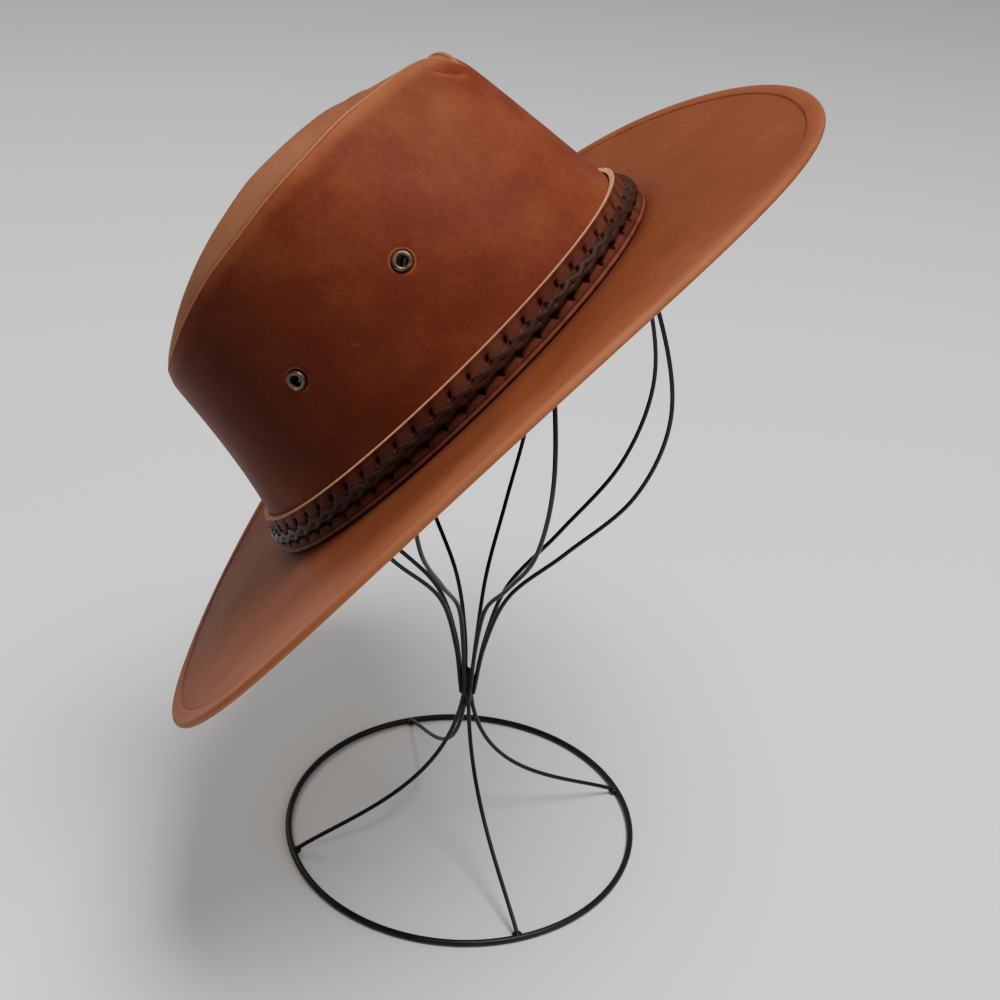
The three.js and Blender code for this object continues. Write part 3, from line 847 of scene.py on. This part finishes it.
# The strap's section: up its face between two rounded corners, in over its top edge, down its
# back and out along its bottom edge.
corner = np.linspace(0, np.pi / 2, 4)
corner_radius = 0.45
outer_face = gap + band_leather
corner_out = outer_face - corner_radius
top_up = band_low + band_height
strap_levels = np.linspace(band_low + corner_radius, top_up - corner_radius, 48)[1:-1]
strap_up = np.concatenate([
    band_low + corner_radius * (1 - np.cos(corner)),
    strap_levels,
    top_up - corner_radius + corner_radius * np.sin(corner),
    np.full(4, top_up),
    np.linspace(top_up, band_low, 4),
    np.full(3, band_low),
])
strap_out = np.concatenate([
    corner_out + corner_radius * np.sin(corner),
    np.full(len(strap_levels), outer_face),
    corner_out + corner_radius * np.cos(corner),
    np.linspace(corner_out, gap, 6)[1:-1],
    np.full(4, gap),
    np.linspace(gap, corner_out, 5)[1:-1],
])
strap_rows, strap_columns = len(strap_up), len(strap_run)
up_grid = strap_up[:, None] + np.zeros((strap_rows, strap_columns))
lean = slit_lean * (up_grid - np.mean(upper_slit)) * ease(9.0, 11.0, up_grid)
run_grid = strap_run[None, :] + lean
outside = (strap_out > outer_face - 0.01)[:, None]

# The upper slits are plain; the lower ones are pulled open upward by the thong, as notches.
upper_cut = hump(slit_away[None, :], 0.60) * (
    ease(upper_slit[0] - 0.4, upper_slit[0], up_grid)
    * ease(upper_slit[1] + 0.4, upper_slit[1], up_grid)
)
notch_width = 0.35 + 0.9 * ease(lower_slit[0], lower_slit[1], up_grid)
lower_cut = hump(slit_away[None, :], notch_width) * (
    ease(lower_slit[0] - 0.5, lower_slit[0] + 0.2, up_grid)
    * ease(lower_slit[1] + 0.8, lower_slit[1], up_grid)
)
cut = np.maximum(upper_cut, lower_cut)
pucker = pucker_depth * hump(slit_away[None, :], 2.0) * (
    hump(up_grid - upper_pucker[0], upper_pucker[1])
    + hump(up_grid - lower_pucker[0], lower_pucker[1])
)
crease_line = hump(up_grid - band_low - 1.9, 0.28) + 0.5 * hump(up_grid - top_up + 1.5, 0.25)
out_grid = strap_out[:, None] - outside * (
    slit_depth * cut + pucker + crease_line_depth * crease_line
)

# Painted shade darkens the slits and creases, and the strap is a little lighter between the
# slits. The bottom edge is rubbed pale, with a painted highlight along it; the top edge is raw.
strap_tone = outside * (-1.6 * cut - 0.35 * crease_line)
strap_tone += 0.9 * outside * hump(up_grid - band_low - 1.15, 0.35)
strap_tone += 0.25 * outside * (1 - hump(slit_away[None, :], 1.8))
strap_raw = 0.95 * (strap_up > top_up - 0.12) * ease(gap - 0.1, gap + 0.2, strap_out)
piece(
    "hat_band_strap", on_stand(strap_place(round_at(run_grid), up_grid, out_grid)),
    [grid_faces(strap_rows, strap_columns, rows_join=True)], band_hide,
    "band_leather", ["hat_band"], tone=strap_tone, raw=strap_raw[:, None],
)

# Band lacing
# Dark waxed thong, laced in and out of the two rows of slits, so that its strands lie along
# the middle of the strap as a herringbone braid that points to the front.
thong_width = 2.8
thong_thick = 1.35
thong_square = 0.8
strand_length = 17.0
strand_rise = 2.05
strand_fall = 3.9
strand_sink = 0.75
strand_steps = 34
strand_sides = 10

lacing_hide = waxed_hide(
    "lacing_hide",
    dark=(0.0085, 0.0033, 0.0024), middle=(0.0265, 0.0098, 0.0064),
    light=(0.0880, 0.0410, 0.0280), cloud=0.5, gloss=0.38, shine=0.07,
)


def strand_line(start, side):
    """Middle line of one strand, as distance along, height and distance out: it comes up at the
    edge of the braid, runs slanting to past the middle and dips under the strands ahead."""
    t = np.linspace(0, 1, strand_steps)[None, :]
    height = band_middle + 0.05 + side * (strand_rise - strand_fall * ease(-0.1, 1.1, t))
    along = start[:, None] + strand_length * t**1.15
    out = outer_face - strand_sink + 1.35 * ease(0, 0.1, t) + 0.6 * np.sin(np.pi * t) ** 2
    out = out - ease(0.8, 1.0, t)
    return np.stack(np.broadcast_arrays(along, height, out), axis=-1)


def strands(start, side):
    """Flat rounded thongs swept along their middle lines: across the line by the cosine and out
    of the strap by the sine, both squared off, in the strap's own surface."""
    line = strand_line(start, side)
    slope = np.gradient(line, axis=1)
    flat_slope = slope[..., :2] / np.linalg.norm(slope[..., :2], axis=-1, keepdims=True)
    turn = circle(strand_sides)
    wide = powered(np.cos(turn), thong_square) * thong_width / 2
    thick = powered(np.sin(turn), thong_square) * thong_thick / 2
    narrow = 0.7 + 0.3 * ease(0, 0.15, np.linspace(0, 1, strand_steps))
    wide = wide[None, :] * narrow[:, None]
    run = line[..., None, 0] - flat_slope[..., None, 1] * wide
    height = line[..., None, 1] + flat_slope[..., None, 0] * wide
    out = line[..., None, 2] + thick
    return strap_place(round_at(run), height, out)


strand_starts = slit_places[:, 0]
braid = np.concatenate([
    strands(strand_starts + slit_lean * 0.2, 1.0),
    strands(strand_starts + slit_step * 0.06, -1.0),
])
starts = (np.arange(len(braid)) * strand_steps * strand_sides)[:, None, None]
near_cap = np.arange(strand_sides)[::-1]
far_cap = (strand_steps - 1) * strand_sides + np.arange(strand_sides)
braid_faces = [
    (grid_faces(strand_steps, strand_sides) + starts).reshape(-1, 4),
    near_cap + starts[:, 0],
    far_cap + starts[:, 0],
]

# Painted highlights run along the thong's two edges.
strand_edge_highlight = 0.7 * (np.arange(strand_sides) % (strand_sides // 2) == 0)
piece(
    "band_braid", on_stand(braid), braid_faces, lacing_hide, "lacing_leather",
    ["band_lacing"], tone=strand_edge_highlight,
)

# Eyelets
# Pressed sheet-brass rings, gone dull and dark, set through the wall for air. Each has a rolled
# flange outside that beds into the leather, a short barrel, and a flat flange inside.
eyelet_hole = 2.0
eyelet_flange = 3.8
eyelet_barrel = 2.5
eyelet_sheet = 0.7
seat_out = gap * 1.4

old_brass, tree, shader, place = finish("old_brass")
tarnish = noise(tree, place, 520, 5, 0.65, 0.5)
brass_colour = ramp(tree, tarnish, [
    (0.30, (0.042, 0.032, 0.023)), (0.50, (0.115, 0.090, 0.066)), (0.72, (0.250, 0.205, 0.155)),
])
# Painted shade: the inside of the hole, the inner flange and the barrel are near black, and
# rougher.
inside = mark_of(tree, "inside")
brass_colour = blended(tree, inside, brass_colour, (0.0040, 0.0032, 0.0026))
brass_rough = weigh(tree, 0.66, (tarnish, -0.35), (inside, 0.35))
brass_grain = noise(tree, place, 1500, 4, 0.6)
coat(tree, shader, brass_colour, brass_rough, brass_grain, 0.3, 0.0002)
shader.inputs["Metallic"].default_value = 0.9

# The section runs over the rolled flange, down the hole, over the inner flange and up the
# barrel's outside.
dome_turn = np.linspace(-0.35, np.pi, 16)
back_turn = np.linspace(np.pi, 2 * np.pi, 8)
dome_middle = (eyelet_flange + eyelet_hole) / 2
dome_half = (eyelet_flange - eyelet_hole) / 2
inner_level = -crown_leather - seat_out
eyelet_radius = np.concatenate([
    dome_middle + dome_half * np.cos(dome_turn),
    np.full(6, eyelet_hole),
    dome_middle - 0.1 + dome_half * np.cos(back_turn),
    [eyelet_barrel, eyelet_barrel],
])
eyelet_level = np.concatenate([
    seat_out + eyelet_sheet * np.sin(dome_turn),
    np.linspace(seat_out, inner_level, 8)[1:-1],
    inner_level + eyelet_sheet * np.sin(back_turn),
    [inner_level, seat_out - 0.25],
])
eyelet_sides = 48
eyelet_turn = circle(eyelet_sides)
# The inside mark is 1 from the dome's inner slope down the hole and over the inner flange and
# barrel, where painted shade makes the brass near black.
eyelet_inside = np.append(ease(2.0, 2.9, dome_turn), np.ones(len(eyelet_radius) - len(dome_turn)))
eyelet_axes = face_normal(wall_face, eyelet_angles, eyelet_ups)
past_eyelets = wall_face(eyelet_angles + 0.02, eyelet_ups)
eyelet_slopes = past_eyelets - wall_face(eyelet_angles - 0.02, eyelet_ups)
for eyelet_name, seat, axis, slope in zip(
    eyelet_places, eyelet_middles, eyelet_axes, eyelet_slopes
):
    side = slope / np.linalg.norm(slope)
    rise = np.cross(side, axis)
    spoke = np.cos(eyelet_turn)[:, None] * side + np.sin(eyelet_turn)[:, None] * rise
    eyelet_points = (
        seat + eyelet_radius[:, None, None] * spoke + eyelet_level[:, None, None] * axis
    )
    piece(
        eyelet_name + "_ring", on_stand(eyelet_points),
        [grid_faces(len(eyelet_radius), eyelet_sides, rows_join=True, flip=True)], old_brass,
        "eyelet_metal", [eyelet_name], inside=eyelet_inside[:, None],
    )

# Base ring of the stand
# Round steel wire, 3 mm thick, rolled into a hoop, butt welded and painted satin black. The
# whole object stands on it.
ring_radius = 82.0
ring_wire = 3.0

satin_black, tree, shader, place = finish("satin_black")
paint_patch = noise(tree, place, 70, 4, 0.6, 0.3)
paint_grain = noise(tree, place, 1800, 4, 0.6)
black_colour = ramp(tree, paint_patch, [
    (0.30, (0.0012, 0.0014, 0.0018)), (0.75, (0.0060, 0.0062, 0.0070)),
])
black_rough = weigh(tree, 0.26, (paint_patch, 0.25))
coat(tree, shader, black_colour, black_rough, paint_grain, 0.25, 0.0002)
shader.inputs["Specular IOR Level"].default_value = 0.3

ring_sides, ring_steps = 16, 240
tube_turn = circle(ring_sides)[:, None]
ring_turn = circle(ring_steps)[None, :]
ring_out = ring_radius + ring_wire / 2 * np.cos(tube_turn)
ring_points = np.stack(np.broadcast_arrays(
    ring_out * np.cos(ring_turn),
    ring_out * np.sin(ring_turn),
    ring_wire / 2 + ring_wire / 2 * np.sin(tube_turn),
), axis=-1)
piece(
    "base_ring_wire", from_ring(ring_points),
    [grid_faces(ring_sides, ring_steps, rows_join=True)], satin_black,
    "stand_wire", ["stand_base_ring"],
)

# Legs of the stand
# Four lengths of 2 mm wire, welded to the inside of the ring, that run low toward the middle
# and sweep up to meet at the waist.
leg_wire = 2.0
waist_height = 77.0
leg_turn = 20.4
wire_sides = 12

# Where each leg's curve is pulled to, as shares: out of the ring's radius, up of the waist.
pull_low = (0.694, 0.19)
pull_high = (0.0976, 0.296)


def stand_place(out, height, direction):
    """A point at a distance from the stand's axis, a height, and degrees round from -Y."""
    turn = np.radians(direction)
    return np.stack(np.broadcast_arrays(
        out * np.sin(turn), -out * np.cos(turn), np.asarray(height, float)
    ), axis=-1)


def wire(name, line, radius, across, stands_for):
    """A round wire along a line of points: the section turns from the direction that lies
    across the wire to the one square to it and the wire; the ends are closed."""
    slope = np.gradient(line, axis=0)
    slope /= np.linalg.norm(slope, axis=1, keepdims=True)
    side = across - (slope @ across)[:, None] * slope
    side /= np.linalg.norm(side, axis=1, keepdims=True)
    lift_side = np.cross(slope, side)
    turn = circle(wire_sides)
    points = line[:, None] + radius * (
        np.cos(turn)[None, :, None] * side[:, None]
        + np.sin(turn)[None, :, None] * lift_side[:, None]
    )
    cap = np.arange(wire_sides)[None]
    faces = [
        grid_faces(len(line), wire_sides), cap[:, ::-1], cap + (len(line) - 1) * wire_sides
    ]
    piece(name, from_ring(points), faces, satin_black, "stand_wire", [stands_for])


low = ring_wire / 2
gather = (leg_wire + gap) / math.sqrt(2)
for quarter, side_name in enumerate(("front", "right", "back", "left")):
    direction = leg_turn + quarter * 90
    corners = [
        stand_place(ring_radius, low, direction),
        stand_place(ring_radius * pull_low[0], low + waist_height * pull_low[1], direction),
        stand_place(ring_radius * pull_high[0], waist_height * pull_high[1], direction),
        stand_place(gather, waist_height + gap, direction),
    ]
    t = np.linspace(0, 1, 90)[:, None]
    leg_line = (
        (1 - t) ** 3 * corners[0] + 3 * (1 - t) ** 2 * t * corners[1]
        + 3 * (1 - t) * t**2 * corners[2] + t**3 * corners[3]
    )
    wire(
        f"leg_wire_{side_name}", leg_line, leg_wire / 2,
        stand_place(1.0, 0.0, direction + 90), f"stand_leg_{side_name}",
    )

# Head of the stand
# Four hoops of 2 mm wire cross at the top, under the crown, and come down as eight ribs that
# swell to the width of a head and close in again to the waist.
hoop_wire = 2.0
belly_height = 226.0
belly_radius = 77.4
knot_steps = 12

# Rows: distance out as a share of the belly's radius, and height as a share up to the belly.
head_lower = np.array([(0.093, 0.188), (0.208, 0.364), (0.509, 0.531), (0.859, 0.746), (1, 1)])

# Rows: distance out, and height as a share from the belly up to the hoop's top.
head_upper = np.array([(0.88, 0.42), (0.64, 0.76), (0.33, 0.945), (0, 1)])

# Degrees round in which each hoop's two halves stand.
hoop_ways = {
    "stand_hoop_1": (21.1, 213.0),
    "stand_hoop_2": (82.4, 268.7),
    "stand_hoop_3": (110.5, 299.8),
    "stand_hoop_4": (161.6, 341.0),
}


def hoop_half(direction, slot, top):
    """Points up one half of a hoop: out and up by the tables; its direction starts in an even
    eighth of the circle at the waist and eases to its own."""
    bunch = (hoop_wire + gap) / (2 * math.sin(math.pi / 8))
    foot = waist_height + gap
    rows = np.vstack([[bunch / belly_radius, 0], head_lower])
    out = np.append(rows[:, 0], head_upper[:, 0]) * belly_radius
    height = np.append(
        foot + (belly_height - foot) * rows[:, 1],
        belly_height + (top - belly_height) * head_upper[:, 1],
    )
    even = leg_turn + slot * 45
    way = even + (direction - even) * ease(bunch, belly_radius * 0.3, out)
    return stand_place(out, height, way)


def smooth_line(knots, steps):
    """A curve through knots that never overshoots: each span is a cubic whose end slopes
    weigh the neighbouring spans by the root of their length."""
    knots = np.vstack([2 * knots[0] - knots[1], knots, 2 * knots[-1] - knots[-2]])
    spans = np.sqrt(np.linalg.norm(np.diff(knots, axis=0), axis=1))[:, None]
    before, this, after = spans[:-2], spans[1:-1], spans[2:]
    a, b, c, d = knots[:-3], knots[1:-2], knots[2:-1], knots[3:]
    slope_b = ((b - a) / before - (c - a) / (before + this) + (c - b) / this) * this
    slope_c = ((c - b) / this - (d - b) / (this + after) + (d - c) / after) * this
    t = np.linspace(0, 1, steps, endpoint=False)[None, :, None]
    curve = cubic(t, b[:, None], slope_b[:, None], c[:, None], slope_c[:, None])
    return np.vstack([curve.reshape(-1, 3), knots[-2:-1]])


for hoop_index, (hoop_name, (one, other)) in enumerate(hoop_ways.items()):
    hoop_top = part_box(hoop_name)[1].z * 1000 - hoop_wire * 0.46
    knots = np.vstack([
        hoop_half(one, hoop_index, hoop_top),
        hoop_half(other, hoop_index + 4, hoop_top)[::-1][1:],
    ])
    wire(
        hoop_name.replace("stand", "head") + "_wire", smooth_line(knots, knot_steps),
        hoop_wire / 2, stand_place(1.0, 0.0, one + 90), hoop_name,
    )

# Welds
# Small beads of weld hold each leg to the ring, and a larger one fills the waist between the
# wires. All are painted over with the wire.
weld_places = np.array(
    [stand_place(ring_radius - 1.6, low + 0.35, leg_turn + k * 90) for k in range(4)]
    + [np.array([0.0, 0.0, waist_height - 1.0]), np.array([0.0, 0.0, waist_height + 7.0])]
)
weld_sizes = np.array([(2.3, 2.3, 1.5)] * 4 + [(2.3, 2.3, 7.0), (3.0, 3.0, 6.5)])
weld_rings, weld_sides = 12, 20
weld_round = circle(weld_sides)[None, :]
weld_rise = np.linspace(-np.pi / 2, np.pi / 2, weld_rings + 2)[1:-1, None]
unit_weld = np.stack(np.broadcast_arrays(
    np.cos(weld_rise) * np.cos(weld_round),
    np.cos(weld_rise) * np.sin(weld_round),
    np.sin(weld_rise),
), axis=-1).reshape(-1, 3)
unit_weld = np.vstack([unit_weld, [[0, 0, -1], [0, 0, 1]]])
lump = 1 + 0.07 * np.sin(5 * unit_weld[:, :1] + 4 * unit_weld[:, 1:2] + 3 * unit_weld[:, 2:])
weld_points = weld_places[:, None] + unit_weld * lump * weld_sizes[:, None]
low_pole = weld_rings * weld_sides
weld_grid = [
    grid_faces(weld_rings, weld_sides),
    pole_faces(0, low_pole, weld_sides),
    pole_faces(low_pole - weld_sides, low_pole + 1, weld_sides, flip=True),
]
weld_faces = [
    group + len(unit_weld) * weld for weld in range(len(weld_places)) for group in weld_grid
]
piece("stand_welds", from_ring(weld_points), weld_faces, satin_black, "stand_wire")

# Floor and light
# A plain pale floor, a large soft light nearly overhead, a weak one from the front right that
# opens the shadows, and one from behind that draws a sheen along the top of the crown.
floor_mesh = bpy.data.meshes.new("floor")
floor_mesh.from_pydata([(-6, -6, 0), (6, -6, 0), (6, 6, 0), (-6, 6, 0)], [], [(0, 1, 2, 3)])
pale, tree, shader, place = finish("pale_floor")
shader.inputs["Base Color"].default_value = (0.77, 0.84, 0.90, 1)
shader.inputs["Roughness"].default_value = 0.7
floor_mesh.materials.append(pale)
put("floor", floor_mesh)

# Each light's place, target, width, power and colour.
lights = {
    "key": ((0.35, -0.25, 1.85), (0.03, 0.0, 0.25), 1.0, 46.0, (1.0, 0.95, 0.88)),
    "fill": ((1.4, -1.0, 0.7), (0.0, 0.0, 0.22), 1.2, 3.5, (1.0, 0.96, 0.92)),
    "back": ((-0.9, 0.9, 1.2), (0.0, 0.0, 0.28), 1.0, 5.0, (1.0, 0.84, 0.70)),
}
for light_name, (place, target, width, power, tint) in lights.items():
    light_data = bpy.data.lights.new(light_name, "AREA")
    light_data.shape = "DISK"
    light_data.size = width
    light_data.energy = power
    light_data.color = tint
    light = put(light_name, light_data)
    light.location = place
    aim = Vector(target) - Vector(place)
    light.rotation_euler = aim.to_track_quat("-Z", "Y").to_euler()

world = bpy.data.worlds.new("room")
world.use_nodes = True
sky = world.node_tree.nodes["Background"]
sky.inputs["Color"].default_value = (0.94, 0.89, 0.83, 1)
sky.inputs["Strength"].default_value = 0.34
bpy.context.scene.world = world
